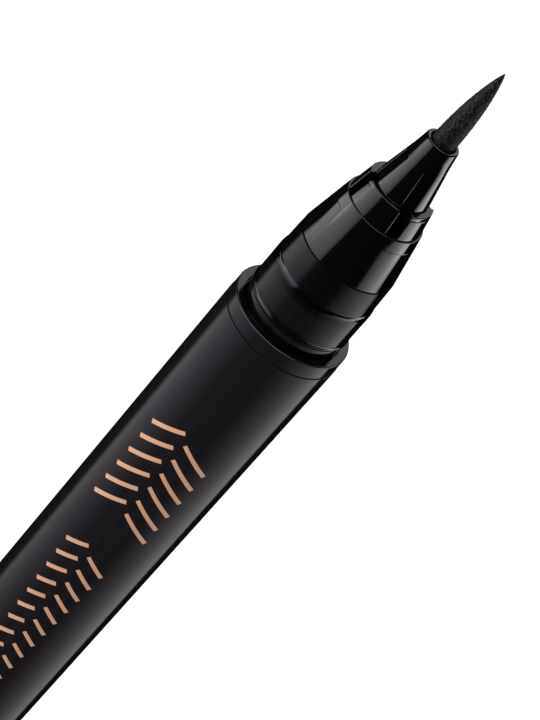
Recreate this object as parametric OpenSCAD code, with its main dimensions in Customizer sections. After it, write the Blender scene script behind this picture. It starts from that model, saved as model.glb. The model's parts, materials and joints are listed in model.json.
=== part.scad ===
// Liquid eyeliner pen, standing on its posted cap with the brush tip up.
// The origin is the middle of the cap's flat end, and +Z runs along the pen to the tip.

/* [Body] */
// Outer diameter of the barrel and the cap
body_d = 10.5; // [9.8:0.1:12]
// Length of the barrel tube
barrel_len = 90; // [84:1:110]
// Wall of the barrel tube
barrel_wall = 0.9; // [0.7:0.05:1.2]
// Depth of the step where the tank's bore is narrower
tank_step = 0.15; // [0.1:0.05:0.3]
// Chamfer on the barrel's outer edges
barrel_chamfer = 0.08; // [0.04:0.01:0.15]

/* [Front section] */
// Height of the flange ring that the cap meets
flange_h = 1.4; // [1:0.1:2.5]
// How far the flange lies inside the barrel's surface
flange_drop = 0.05; // [0.02:0.01:0.1]
// Depth of the groove around the section in the flange's face
recess_depth = 0.3; // [0.15:0.05:0.5]
// Radial width of that groove
recess_w = 0.31; // [0.2:0.01:0.4]
// Height of the undercut above the flange
root_h = 0.55; // [0.4:0.01:0.8]
// Height of the plain band above the undercut
rear_band_h = 0.5; // [0.4:0.05:1]
// Half height and depth of the fine line above that band
line_cut = 0.05; // [0.03:0.01:0.08]
// Height of the rear snap ridge
rear_ridge_h = 0.55; // [0.4:0.05:0.8]
// Height of both snap ridges above their bands
ridge_rise = 0.07; // [0.04:0.01:0.12]
// Length of the cap's seat between the ridges
seat_h = 2.15; // [1.8:0.05:3]
// Height of the front snap ridge
front_ridge_h = 1.05; // [0.8:0.05:1.4]
// Length of the satin band in front of the ridge
front_band_h = 2.62; // [2:0.02:4]
// How much narrower the front band is than the seat, at its rear
band_step = 0.105; // [0.05:0.005:0.2]
// How much the front band narrows over its length
band_taper = 0.07; // [0.04:0.01:0.15]
// Wall of the section around the cone's sleeve
section_wall = 0.91; // [0.75:0.01:1.1]
// Length of the section's tail inside the barrel
tail_len = 5.6; // [4.5:0.1:8]

/* [Front cone] */
// Length of the glossy cone
cone_len = 4.88; // [4:0.02:7]
// How far the cone's rear edge lies inside the satin band
cone_drop = 0.03; // [0.01:0.01:0.06]
// Length of the slightly steeper land at the cone's front
cone_land_h = 1.05; // [0.6:0.05:1.6]
// How far that land's rear edge stands out of a straight cone
cone_land_rise = 0.012; // [0:0.002:0.03]
// Width of the step that carries the tip holder's collar
cone_lip = 0.36; // [0.3:0.01:0.5]
// Length of the cone's sleeve inside the section
sleeve_len = 5.2; // [4:0.1:6]
// Wall of that sleeve
sleeve_wall = 0.48; // [0.4:0.02:0.7]

/* [Tip holder] */
// Length of the slotted collar
collar_len = 2.12; // [1.6:0.02:3]
// How far the collar's base stands out of the cone's bore
collar_lip = 0.23; // [0.15:0.01:0.3]
// How much the collar narrows over its length
collar_taper = 0.4; // [0.2:0.02:0.6]
// Height of the step from the collar down to the holder's cone
collar_step = 0.48; // [0.3:0.02:0.7]
// Length of the holder's cone
holder_cone_len = 3.85; // [3:0.05:6]
// Length of the gentler land at the mouth
mouth_land_h = 1.32; // [0.8:0.02:2]
// How much that land narrows
mouth_land_taper = 0.18; // [0.1:0.01:0.25]
// Wall of the mouth around the tip
mouth_wall = 0.32; // [0.25:0.01:0.45]
// Width of the air slots and grooves
slot_w = 0.97; // [0.7:0.01:1.2]
// Number of air slots
slot_count = 4; // [3:1:5]
// Turn of the first air slot about the pen
slot_turn = 30; // [0:5:90]
// Wall left between a groove's floor and the tip's bore
slot_floor_wall = 0.77; // [0.5:0.01:0.9]
// Length of the holder's tail inside the cone
holder_tail_len = 6.2; // [5:0.1:8]

/* [Brush tip] */
// Diameter of the brush tip where it leaves the holder
tip_d = 1.94; // [1.6:0.02:2.2]
// Length of the brush tip outside the holder
tip_out = 7.23; // [5:0.01:9]
// Length of the brush tip's shank inside the holder
tip_shank = 9.4; // [7:0.1:11]
// Gap around the tip at the holder's mouth
mouth_gap = 0.13; // [0.08:0.01:0.2]
// Depth of the wider mouth
mouth_depth = 1.1; // [0.6:0.1:2]

/* [Ink feed] */
// Diameter of the feed core
core_d = 1.8; // [1.4:0.05:1.9]
// Length of the finned part of the collector
comb_len = 28.2; // [20:0.1:34]
// Distance from one fin to the next
fin_pitch = 0.94; // [0.8:0.02:1.4]
// Thickness of a fin
fin_t = 0.34; // [0.25:0.01:0.5]
// Gap between the fins and the barrel's bore
fin_gap = 0.25; // [0.15:0.05:0.4]
// Wall of the collector's web around the feed core
web_wall = 0.9; // [0.7:0.1:1.3]
// Width of the ink slit through the fins
slit_w = 0.3; // [0.2:0.05:0.5]
// Width of the air notch in the fins
notch_w = 1.2; // [0.8:0.1:2]
// Thickness of the plug between the collector and the tank
tank_plug_h = 3.2; // [3:0.1:5]
// Length of the feed core inside the tank
core_in_tank = 2.2; // [1:0.1:5]
// Gap around the mixing ball in the tail plug's bore
ball_gap = 0.62; // [0.4:0.02:1]

/* [Seals] */
// Thickness of the rubber ring of each seal
ring_d = 0.66; // [0.5:0.02:0.9]
// Width of the grooves that hold the rings
groove_w = 0.9; // [0.75:0.05:1.2]

/* [Tail] */
// Height of the ring between the barrel and the posted cap
tail_ring_h = 1.2; // [0.8:0.1:2.5]
// Free space between the spigot's end and the bead in the posted cap
spigot_space = 0.3; // [0.2:0.1:2]
// Length of the tail plug inside the barrel
tail_plug_len = 7.5; // [6:0.5:12]
// Wall of the tail plug
tail_wall = 1; // [0.8:0.05:1.3]
// Thickness of the spigot's closed end
tail_floor = 1.2; // [0.8:0.1:2]

/* [Cap] */
// Wall of the cap around its seat
cap_wall = 0.72; // [0.55:0.01:0.9]
// Thickness of the cap's closed end
cap_floor = 1.6; // [1.2:0.1:2.5]
// Radius of the edge around the cap's closed end
cap_edge = 0.5; // [0.3:0.05:0.8]
// Height of the bead that holds the inner cap in
bead_h = 0.5; // [0.4:0.05:0.8]
// How far that bead stands out of the cap's bore
bead_rise = 0.27; // [0.15:0.01:0.35]
// Wall of the inner cap
inner_wall = 0.7; // [0.5:0.05:0.9]
// Height of the inner cap's guide ring
guide_h = 2.4; // [1.5:0.1:4]
// Length of the sealing lip inside the inner cap's mouth
lip_h = 1.6; // [1:0.1:2.5]
// Free space above the brush tip inside the inner cap, when closed
tip_space = 1.2; // [0.8:0.1:3]
// How far closing the cap pushes the inner cap in
inner_travel = 1.7; // [1:0.1:2.5]
// Length of the spring as fitted
spring_len = 7.6; // [6:0.1:10]
// Mean diameter of the spring
spring_d = 6.2; // [5.4:0.1:7]
// Diameter of the spring's wire
wire_d = 0.45; // [0.35:0.01:0.6]
// Number of the spring's curls
spring_curls = 6; // [4:1:7]
// Height of the pegs that centre the spring
peg_h = 0.8; // [0.5:0.1:1.2]

/* [Fits] */
// Radial clearance of pieces that are pressed together
press_fit = 0.02; // [0.01:0.01:0.04]
// Radial clearance of the cap on its seats
seat_fit = 0.03; // [0.02:0.01:0.06]
// Radial clearance of the inner cap's guide ring
guide_fit = 0.08; // [0.05:0.01:0.1]
// Clearance between faces that rest on each other but part
rest_gap = 0.1; // [0.05:0.01:0.2]
// Loose clearance inside the pen
loose_gap = 0.2; // [0.1:0.05:0.3]

/* [Hidden] */

// Colours
satin_black = [0.13, 0.12, 0.13];
gloss_black = [0.05, 0.05, 0.06];
fibre_grey = [0.22, 0.21, 0.22];
moulded_grey = [0.75, 0.75, 0.73];
seal_grey = [0.30, 0.30, 0.32];
steel_grey = [0.68, 0.69, 0.71];
core_white = [0.88, 0.87, 0.82];

// Smoothness
facets = 96;
arc_steps = 6;
wire_sides = 6;
rings_per_curl = 8;
overrun = 1;

// Shares of the sizes that they follow
lip_share = 0.5;
edge_share = 0.12;

// Powers that shape the brush tip's outline
tip_belly = 1.9;
tip_point = 0.82;

// Radii from the barrel inwards
body_r = body_d / 2;
bore_r = body_r - barrel_wall;
tank_r = bore_r - tank_step;
flange_r = body_r - flange_drop;
cap_bore_r = body_r - cap_wall;
ridge_r = cap_bore_r - seat_fit;
seat_r = ridge_r - ridge_rise;
recess_r = seat_r + line_cut;
root_r = recess_r - recess_w;
seat_front_r = seat_r - line_cut;
band_rear_r = seat_r - band_step;
band_front_r = band_rear_r - band_taper;
band_edge_r = band_front_r - line_cut;
section_bore_r = seat_r - section_wall;
tail_bore_r = bore_r - ring_d - section_wall / 2;
cone_rear_r = band_front_r - cone_drop;
sleeve_r = section_bore_r - press_fit;
cone_bore_r = sleeve_r - sleeve_wall;
cone_front_r = cone_bore_r + cone_lip;
holder_tail_r = cone_bore_r - press_fit;
collar_rear_r = cone_bore_r + collar_lip;
collar_front_r = collar_rear_r - collar_taper;
holder_cone_r = collar_front_r - collar_step;
tip_r = tip_d / 2;
core_r = core_d / 2;
tip_bore_r = tip_r + press_fit;
mouth_r = tip_r + mouth_gap;
rim_r = mouth_r + mouth_wall;
mouth_land_r = rim_r + mouth_land_taper;
slot_floor_r = tip_bore_r + slot_floor_wall;
plug_tail_r = bore_r - press_fit;
tail_body_r = tank_r - press_fit;
plug_bore_r = tail_body_r - ring_d - tail_wall;
ball_r = plug_bore_r - ball_gap;
spigot_r = ridge_r - line_cut;
web_r = core_r + loose_gap + web_wall;
fin_r = bore_r - fin_gap;
inner_guide_r = cap_bore_r - guide_fit;
inner_r = inner_guide_r - rest_gap - bead_rise;
inner_bore_r = inner_r - inner_wall;
lip_r = inner_bore_r + (cone_rear_r - inner_bore_r) * lip_share;
spring_r = spring_d / 2;
wire_r = wire_d / 2;
peg_r = spring_r - wire_d;
ring_r = ring_d / 2;

// The cap, from its closed end to its mouth
lip_depth = cone_len * (cone_rear_r - lip_r) / (cone_rear_r - cone_front_r);
section_h = root_h + rear_band_h + rear_ridge_h + 2 * line_cut + seat_h + front_ridge_h + front_band_h;
holder_h = collar_len + holder_cone_len + mouth_land_h;
tip_reach = section_h + cone_len + holder_h + tip_out;
inner_mouth_depth = section_h + lip_depth - inner_travel;
inner_depth = tip_reach + tip_space - section_h - lip_depth;
inner_len = inner_depth + inner_wall;
spring_low = cap_floor;
inner_low = spring_low + spring_len;
inner_high = inner_low + inner_len;
cap_len = inner_high + inner_mouth_depth;
bead_high = inner_high + rest_gap + bead_h;

// The pen, from the cap's mouth to the tip
tail_ring_low = cap_len + rest_gap;
spigot_len = inner_mouth_depth - bead_h - spigot_space;
barrel_low = tail_ring_low + tail_ring_h;
barrel_high = barrel_low + barrel_len;
flange_face = barrel_high + flange_h;
section_high = flange_face + section_h;
cone_high = section_high + cone_len;
collar_high = cone_high + collar_len;
holder_high = cone_high + holder_h;
tip_high = holder_high + tip_out;
tip_low = holder_high - tip_shank;
tail_low = barrel_high - tail_len;
holder_low = cone_high - holder_tail_len;
comb_high = tail_low - rest_gap;
comb_low = comb_high - comb_len;
tank_plug_high = comb_low - rest_gap;
tank_plug_low = tank_plug_high - tank_plug_h;
core_low = tank_plug_low - core_in_tank;
core_high = tip_low - rest_gap;
spigot_low = tail_ring_low - spigot_len;
tail_bore_low = spigot_low + tail_floor;
tail_high = barrel_low + tail_plug_len;
ball_rest = tail_bore_low + rest_gap + ball_r;
spring_rise = spring_len - wire_d - 2 * press_fit;

// Points of a quarter round, from one angle to the other
function arc(centre, radius, from, to) =
    [for (i = [0 : arc_steps]) let (a = from + (to - from) * i / arc_steps)
        centre + radius * [cos(a), sin(a)]];

// Smooth rise and fall of a snap ridge, between its ends and over its base line
function ridge(low, high, base_low, base_high, rise) =
    [for (i = [0 : 2 * arc_steps]) let (t = i / (2 * arc_steps))
        [base_low + (base_high - base_low) * t + rise * pow(sin(180 * t), 2 / 3),
         low + (high - low) * t]];

// Half width of the brush tip at a share of its free length
function tip_half(t) = tip_r * pow(1 - pow(t, tip_belly), tip_point);

module turned(points) {
    rotate_extrude($fn = facets) polygon(points);
}

module bore(radius, low, high) {
    translate([0, 0, low]) cylinder(r = radius, h = high - low, $fn = facets);
}

module seal_ring(outer_r, height) {
    translate([0, 0, height])
        rotate_extrude($fn = facets)
            translate([outer_r - ring_r, 0]) circle(r = ring_r, $fn = facets / 4);
}

// Outline of a plug's side with one groove for a ring, from low to high
function grooved_side(radius, low, high) = let (
    mid = (low + high) / 2,
    floor_r = radius - ring_d - press_fit)
    [[radius, low], [radius, mid - groove_w / 2], [floor_r, mid - groove_w / 2],
     [floor_r, mid + groove_w / 2], [radius, mid + groove_w / 2], [radius, high]];

module cap_shell() {
    bead_r = cap_bore_r - bead_rise;
    bead_low = bead_high - bead_h;
    color(satin_black) turned(concat(
        [[0, 0]],
        arc([body_r - cap_edge, cap_edge], cap_edge, -90, 0),
        [[body_r, cap_len - barrel_chamfer], [body_r - barrel_chamfer, cap_len],
         [cap_bore_r + barrel_chamfer, cap_len], [cap_bore_r, cap_len - barrel_chamfer],
         [cap_bore_r, bead_high], [bead_r, bead_high - bead_h / 2],
         [bead_r, bead_low], [cap_bore_r, bead_low], [cap_bore_r, cap_floor],
         [peg_r, cap_floor], [peg_r, cap_floor + peg_h], [0, cap_floor + peg_h]]));
}

module inner_cap() {
    inner_edge = inner_wall * edge_share;
    guide_low = inner_high - guide_h;
    color(gloss_black) turned([
        [0, inner_low - peg_h], [peg_r, inner_low - peg_h], [peg_r, inner_low],
        [inner_r - inner_edge, inner_low], [inner_r, inner_low + inner_edge],
        [inner_r, guide_low], [inner_guide_r, guide_low + bead_rise],
        [inner_guide_r, inner_high], [lip_r, inner_high], [inner_bore_r, inner_high - lip_h],
        [inner_bore_r, inner_low + inner_wall], [0, inner_low + inner_wall]]);
}

// Centre of the spring's wire after a number of curls
function spring_point(turns) =
    [spring_r * cos(360 * turns), spring_r * sin(360 * turns),
     spring_low + press_fit + wire_r + spring_rise * turns / spring_curls];

// One ring of the wire, square to its path
function wire_ring(turns) = let (
    slope = spring_rise / (spring_curls * 2 * PI * spring_r),
    out = [cos(360 * turns), sin(360 * turns), 0],
    up = [sin(360 * turns) * slope, -cos(360 * turns) * slope, 1] / sqrt(1 + slope * slope))
    [for (k = [0 : wire_sides - 1]) let (a = 360 * k / wire_sides)
        spring_point(turns) + wire_r * (cos(a) * out + sin(a) * up)];

module cap_spring() {
    rings = spring_curls * rings_per_curl;
    points = [for (i = [0 : rings]) each wire_ring(i / rings_per_curl)];
    sides = [for (i = [0 : rings - 1]) for (k = [0 : wire_sides - 1])
        let (a = i * wire_sides + k, b = i * wire_sides + (k + 1) % wire_sides)
        each [[a, b, a + wire_sides], [b, b + wire_sides, a + wire_sides]]];
    first_end = [for (k = [wire_sides - 1 : -1 : 0]) k];
    last_end = [for (k = [0 : wire_sides - 1]) rings * wire_sides + k];
    echo(least_gap_between_curls = spring_rise / spring_curls - wire_d);
    color(steel_grey) polyhedron(points, concat([first_end], sides, [last_end]));
}

module barrel() {
    color(satin_black) difference() {
        turned([
            [0, barrel_low], [body_r - barrel_chamfer, barrel_low], [body_r, barrel_low + barrel_chamfer],
            [body_r, barrel_high - barrel_chamfer], [body_r - barrel_chamfer, barrel_high],
            [0, barrel_high]]);
        bore(tank_r, barrel_low - overrun, tank_plug_low + overrun);
        bore(bore_r, tank_plug_low, barrel_high + overrun);
    }
}

module tail_plug() {
    spigot_edge = edge_share * spigot_len;
    color(satin_black) difference() {
        turned(concat(
            [[0, spigot_low], [spigot_r - spigot_edge / 2, spigot_low],
             [spigot_r, spigot_low + spigot_edge]],
            ridge(tail_ring_low - spigot_len / 2, tail_ring_low - spigot_len / 4,
                spigot_r, spigot_r, line_cut),
            [[spigot_r, tail_ring_low], [flange_r - barrel_chamfer, tail_ring_low],
             [flange_r, tail_ring_low + barrel_chamfer], [flange_r, barrel_low - barrel_chamfer],
             [flange_r - barrel_chamfer, barrel_low]],
            grooved_side(tail_body_r, barrel_low, tail_high),
            [[0, tail_high]]));
        bore(plug_bore_r, tail_bore_low, tail_high + overrun);
    }
}

module tail_seal() {
    color(seal_grey) seal_ring(tail_body_r, (barrel_low + tail_high) / 2);
}

module mixing_ball() {
    color(steel_grey) translate([0, 0, ball_rest]) sphere(r = ball_r, $fn = facets);
}

module tank_plug() {
    color(moulded_grey) difference() {
        turned(concat([[0, tank_plug_low]], grooved_side(plug_tail_r, tank_plug_low, tank_plug_high),
            [[0, tank_plug_high]]));
        bore(core_r + press_fit, tank_plug_low - overrun, tank_plug_high + overrun);
    }
}

module tank_seal() {
    color(seal_grey) seal_ring(plug_tail_r, (tank_plug_low + tank_plug_high) / 2);
}

module ink_collector() {
    fins = floor((comb_len - fin_t) / fin_pitch);
    stem_high = holder_low - rest_gap;
    color(moulded_grey) difference() {
        turned(concat(
            [[0, comb_low]],
            [for (i = [0 : fins]) let (low = comb_low + i * fin_pitch)
                each [[fin_r, low], [fin_r, low + fin_t], [web_r, low + fin_t],
                      [web_r, min(low + fin_pitch, comb_high)]]],
            [[holder_tail_r, comb_high], [holder_tail_r, stem_high], [0, stem_high]]));
        bore(core_r + loose_gap / 2, comb_low - overrun, stem_high + overrun);
        translate([0, -slit_w / 2, comb_low - overrun])
            cube([fin_r + overrun, slit_w, comb_len + overrun]);
        translate([-fin_r - overrun, -notch_w / 2, comb_low - overrun])
            cube([fin_r + overrun - web_r, notch_w, comb_len + overrun]);
    }
}

module feed_core() {
    core_edge = edge_share * core_d;
    color(core_white) turned([
        [0, core_low], [core_r - core_edge, core_low], [core_r, core_low + core_edge],
        [core_r, core_high - core_edge], [core_r - core_edge, core_high], [0, core_high]]);
}

module front_section() {
    band_low = flange_face + root_h;
    line_low = band_low + rear_band_h;
    ridge_low = line_low + 2 * line_cut;
    seat_low = ridge_low + rear_ridge_h;
    front_ridge_low = seat_low + seat_h;
    front_ridge_high = front_ridge_low + front_ridge_h;
    sleeve_low = section_high - sleeve_len;
    color(satin_black) difference() {
        turned(concat(
            [[0, tail_low]],
            grooved_side(plug_tail_r, tail_low, barrel_high),
            [[flange_r - barrel_chamfer, barrel_high], [flange_r, barrel_high + barrel_chamfer]],
            arc([flange_r - barrel_chamfer, flange_face - barrel_chamfer], barrel_chamfer, 0, 90),
            [[recess_r + line_cut, flange_face], [recess_r, flange_face - line_cut],
             [recess_r, flange_face - recess_depth], [root_r, flange_face - recess_depth],
             [root_r, band_low - line_cut]],
            [[ridge_r - line_cut, band_low], [ridge_r - line_cut / 2, line_low],
             [ridge_r - line_cut - line_cut / 2, line_low + line_cut]],
            ridge(ridge_low, seat_low, ridge_r - line_cut / 2, seat_r, line_cut),
            [[seat_r, front_ridge_low - seat_h / 2]],
            ridge(front_ridge_low, front_ridge_high, seat_front_r, band_rear_r, ridge_rise),
            [[band_front_r, section_high - cone_lip], [band_edge_r, section_high], [0, section_high]]));
        bore(section_bore_r, sleeve_low, section_high + overrun);
        bore(tail_bore_r, tail_low - overrun, section_high);
    }
}

module section_seal() {
    color(seal_grey) seal_ring(plug_tail_r, (tail_low + barrel_high) / 2);
}

module front_cone() {
    land_low = cone_high - cone_land_h;
    land_r = cone_front_r + cone_land_rise + (cone_rear_r - cone_front_r) * cone_land_h / cone_len;
    color(gloss_black) difference() {
        turned(concat(
            [[0, section_high - sleeve_len + rest_gap], [sleeve_r, section_high - sleeve_len + rest_gap],
             [sleeve_r, section_high], [cone_rear_r - line_cut, section_high],
             [cone_rear_r, section_high + line_cut], [land_r, land_low]],
            arc([cone_front_r - line_cut, cone_high - line_cut], line_cut, 0, 90),
            [[0, cone_high]]));
        bore(cone_bore_r, section_high - sleeve_len - overrun, cone_high + overrun);
    }
}

module nib_holder() {
    land_low = holder_high - mouth_land_h;
    groove_len = (holder_cone_r - slot_floor_r) * holder_cone_len / (holder_cone_r - mouth_land_r);
    slot_low = cone_high - holder_tail_len / 2;
    collar_edge = line_cut * 2;
    rim_edge = mouth_wall / 4;
    color(gloss_black) difference() {
        turned(concat(
            [[0, holder_low], [holder_tail_r, holder_low],
             [holder_tail_r, cone_high], [collar_rear_r, cone_high]],
            arc([collar_front_r - collar_edge, collar_high - collar_edge], collar_edge, 0, 90),
            [[holder_cone_r, collar_high], [mouth_land_r, land_low]],
            arc([rim_r - rim_edge, holder_high - rim_edge], rim_edge, 0, 90),
            [[mouth_r + rim_edge / 2, holder_high], [mouth_r, holder_high - rim_edge / 2],
             [mouth_r, holder_high - mouth_depth], [0, holder_high - mouth_depth]]));
        bore(tip_bore_r, holder_low - overrun, holder_high);
        for (i = [0 : slot_count - 1])
            rotate([0, 0, slot_turn + i * 360 / slot_count])
                translate([slot_floor_r, -slot_w / 2, slot_low])
                    cube([collar_rear_r, slot_w, collar_high + groove_len + slot_w - slot_low]);
    }
}

module brush_tip() {
    tip_steps = 4 * arc_steps;
    shank_edge = edge_share * tip_d;
    color(fibre_grey) turned(concat(
        [[0, tip_low], [tip_r - shank_edge, tip_low], [tip_r, tip_low + shank_edge]],
        [for (i = [0 : tip_steps - 1]) let (t = i / tip_steps)
            [tip_half(t), holder_high + tip_out * t]],
        [[0, tip_high]]));
}

cap_shell();
inner_cap();
cap_spring();
barrel();
tail_plug();
tail_seal();
mixing_ball();
tank_plug();
tank_seal();
ink_collector();
feed_core();
front_section();
section_seal();
front_cone();
nib_holder();
brush_tip();
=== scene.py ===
"""Liquid eyeliner pen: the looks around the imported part. Lengths are written in millimetres."""

import json
import math

import bmesh
import bpy
from mathutils import Matrix, Vector, noise


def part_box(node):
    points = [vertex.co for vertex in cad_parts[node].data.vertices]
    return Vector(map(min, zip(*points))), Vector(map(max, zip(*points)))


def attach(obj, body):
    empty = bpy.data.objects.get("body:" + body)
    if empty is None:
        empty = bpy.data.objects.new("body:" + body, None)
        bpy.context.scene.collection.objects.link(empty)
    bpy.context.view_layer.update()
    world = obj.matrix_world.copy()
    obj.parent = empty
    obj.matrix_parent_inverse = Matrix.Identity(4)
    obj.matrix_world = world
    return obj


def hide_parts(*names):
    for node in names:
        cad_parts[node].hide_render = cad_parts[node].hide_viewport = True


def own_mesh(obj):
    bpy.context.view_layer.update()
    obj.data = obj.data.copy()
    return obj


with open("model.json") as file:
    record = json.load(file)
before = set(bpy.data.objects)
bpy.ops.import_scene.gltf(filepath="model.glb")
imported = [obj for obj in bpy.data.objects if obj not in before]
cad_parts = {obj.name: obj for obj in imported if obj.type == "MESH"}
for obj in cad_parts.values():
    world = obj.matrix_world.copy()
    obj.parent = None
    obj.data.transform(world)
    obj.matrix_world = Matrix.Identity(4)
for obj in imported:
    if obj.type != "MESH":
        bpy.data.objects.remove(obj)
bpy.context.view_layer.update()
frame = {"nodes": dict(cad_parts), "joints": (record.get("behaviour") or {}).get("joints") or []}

# The camera
# It looks down at the front end of the pen from about 180 mm away, and is rolled so that the pen
# lies across the picture.
MM = 0.001
camera_place = (0.877, -150.93, 225.62)
camera_tilt = 33.834
camera_roll = 41.074
camera_lens = 116.24

camera_data = bpy.data.cameras.new("camera")
camera_data.lens = camera_lens
camera_data.clip_start = 10 * MM
camera = bpy.data.objects.new("camera", camera_data)
bpy.context.scene.collection.objects.link(camera)
camera.matrix_world = (Matrix.Translation(Vector(camera_place) * MM)
                       @ Matrix.Rotation(math.radians(90 - camera_tilt), 4, "X")
                       @ Matrix.Rotation(math.radians(camera_roll), 4, "Z"))
bpy.context.scene.camera = camera
bpy.context.scene.view_settings.view_transform = "Standard"

# The studio
# A pale floor, a white surround and one lamp. The boards bent round the pen show in reflections
# only: soft boxes at its left and right and above it, two light strips in front of them, and black
# boards that keep its middle and its rims dark.
ambient = 0.5
floor_size = 4000
floor_drop = 0.02
floor_colour = (0.82, 0.82, 0.82, 1)
floor_lift = ((0.03, 0.45), (0.12, 0.6))
lamp_place = (-330, -240, 380)
lamp_aim = (0, 0, 110)
lamp_size = 260
lamp_power = 1
board_distance = 100
board_foot = -120
board_steps = 24
board_back = 182
strip_distance = 98
top_height = 380
top_depth = 140
top_power = 4


class Wire:
    """An output socket, with sums on it written as Python writes them."""

    def __init__(self, nodes, socket):
        self.nodes = nodes
        self.socket = socket

    def maths(self, operation, *values):
        return self.nodes.add("ShaderNodeMath", {"operation": operation}, dict(enumerate(values)))

    def __add__(self, other):
        return self.maths("ADD", self, other)

    def __sub__(self, other):
        return self.maths("SUBTRACT", self, other)

    def __rsub__(self, other):
        return self.maths("SUBTRACT", other, self)

    def __mul__(self, other):
        return self.maths("MULTIPLY", self, other)

    def __truediv__(self, other):
        return self.maths("DIVIDE", self, other)

    __radd__ = __add__
    __rmul__ = __mul__


class Nodes:
    """The nodes of a material, of the world or of a repeated shape."""

    def __init__(self, owner):
        self.owner = owner
        if isinstance(owner, bpy.types.NodeTree):
            self.tree = owner
        else:
            owner.use_nodes = True
            self.tree = owner.node_tree
            self.tree.nodes.clear()

    def add(self, kind, settings, values, out=0):
        """One node: its settings first, then the values or wires of its sockets."""
        made = self.tree.nodes.new(kind)
        for key, value in settings.items():
            if key == "stops":
                while len(made.color_ramp.elements) < len(value):
                    made.color_ramp.elements.new(1)
                for element, (place, level) in zip(made.color_ramp.elements, value):
                    element.position = place
                    element.color = (level, level, level, 1)
            else:
                setattr(made, key, value)
        for socket, value in values.items():
            if isinstance(value, Wire):
                self.tree.links.new(value.socket, made.inputs[socket])
            else:
                made.inputs[socket].default_value = value
        return Wire(self, made.outputs[out]) if made.outputs else None


def new_finish(name):
    """The nodes of a new material."""
    return Nodes(bpy.data.materials.new(name))


def sees_background(nodes):
    """One for a ray from the camera, from a reflection or through glass, and else zero."""
    rays = [nodes.add("ShaderNodeLightPath", {}, {}, out)
            for out in ("Is Camera Ray", "Is Glossy Ray", "Is Transmission Ray")]
    return rays[0] + rays[1] + rays[2]


def new_object(name, corners, faces, finish=None):
    """An object at the origin, from corners in millimetres and faces."""
    mesh = bpy.data.meshes.new(name)
    mesh.from_pydata([Vector(corner) * MM for corner in corners], [], faces)
    made = bpy.data.objects.new(name, mesh)
    bpy.context.scene.collection.objects.link(made)
    if finish:
        mesh.materials.append(finish.owner)
    return made


bpy.context.scene.world = bpy.data.worlds.new("surround")
surround = Nodes(bpy.context.scene.world)
soft_light = surround.add("ShaderNodeBackground", {}, {"Strength": ambient, "Color": (1, 1, 1, 1)})
plain_white = surround.add("ShaderNodeBackground", {}, {"Strength": 1, "Color": (1, 1, 1, 1)})
surround.add("ShaderNodeOutputWorld", {}, {
    "Surface": surround.add("ShaderNodeMixShader", {}, {
        0: sees_background(surround), 1: soft_light, 2: plain_white})})

pale_floor = new_finish("pale_floor")
floor_matt = pale_floor.add("ShaderNodeBsdfDiffuse", {}, {"Color": floor_colour})
floor_place = pale_floor.add("ShaderNodeTexCoord", {}, {}, "Object")
floor_reach = pale_floor.add("ShaderNodeVectorMath", {"operation": "LENGTH"}, {0: floor_place}, "Value")
floor_glow = pale_floor.add("ShaderNodeEmission", {}, {
    "Color": pale_floor.add("ShaderNodeValToRGB", {"stops": floor_lift}, {0: floor_reach}),
    "Strength": sees_background(pale_floor)})
pale_floor.add("ShaderNodeOutputMaterial", {}, {
    "Surface": pale_floor.add("ShaderNodeAddShader", {}, {0: floor_matt, 1: floor_glow})})
floor_half = floor_size / 2
floor = new_object("floor", [(-floor_half, -floor_half, -floor_drop), (floor_half, -floor_half, -floor_drop),
                             (floor_half, floor_half, -floor_drop), (-floor_half, floor_half, -floor_drop)],
                   [(0, 1, 2, 3)], pale_floor)
floor.visible_glossy = False

lamp = bpy.data.objects.new("soft_lamp", bpy.data.lights.new("soft_lamp", "AREA"))
lamp.data.size = lamp_size * MM
lamp.data.energy = lamp_power
lamp.visible_glossy = False
bpy.context.scene.collection.objects.link(lamp)
lamp.location = Vector(lamp_place) * MM
lamp.rotation_euler = (Vector(lamp_place) - Vector(lamp_aim)).to_track_quat("Z", "Y").to_euler()


black_board = new_finish("black_board")
black_board.add("ShaderNodeOutputMaterial", {}, {
    "Surface": black_board.add("ShaderNodeEmission", {}, {"Color": (0, 0, 0, 1), "Strength": 0})})


def hide_board(made, lit):
    """A board shows in reflections only, and a lit one also lights what stands in front of it."""
    made.visible_camera = made.visible_shadow = made.visible_transmission = False
    made.visible_diffuse = lit


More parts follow.
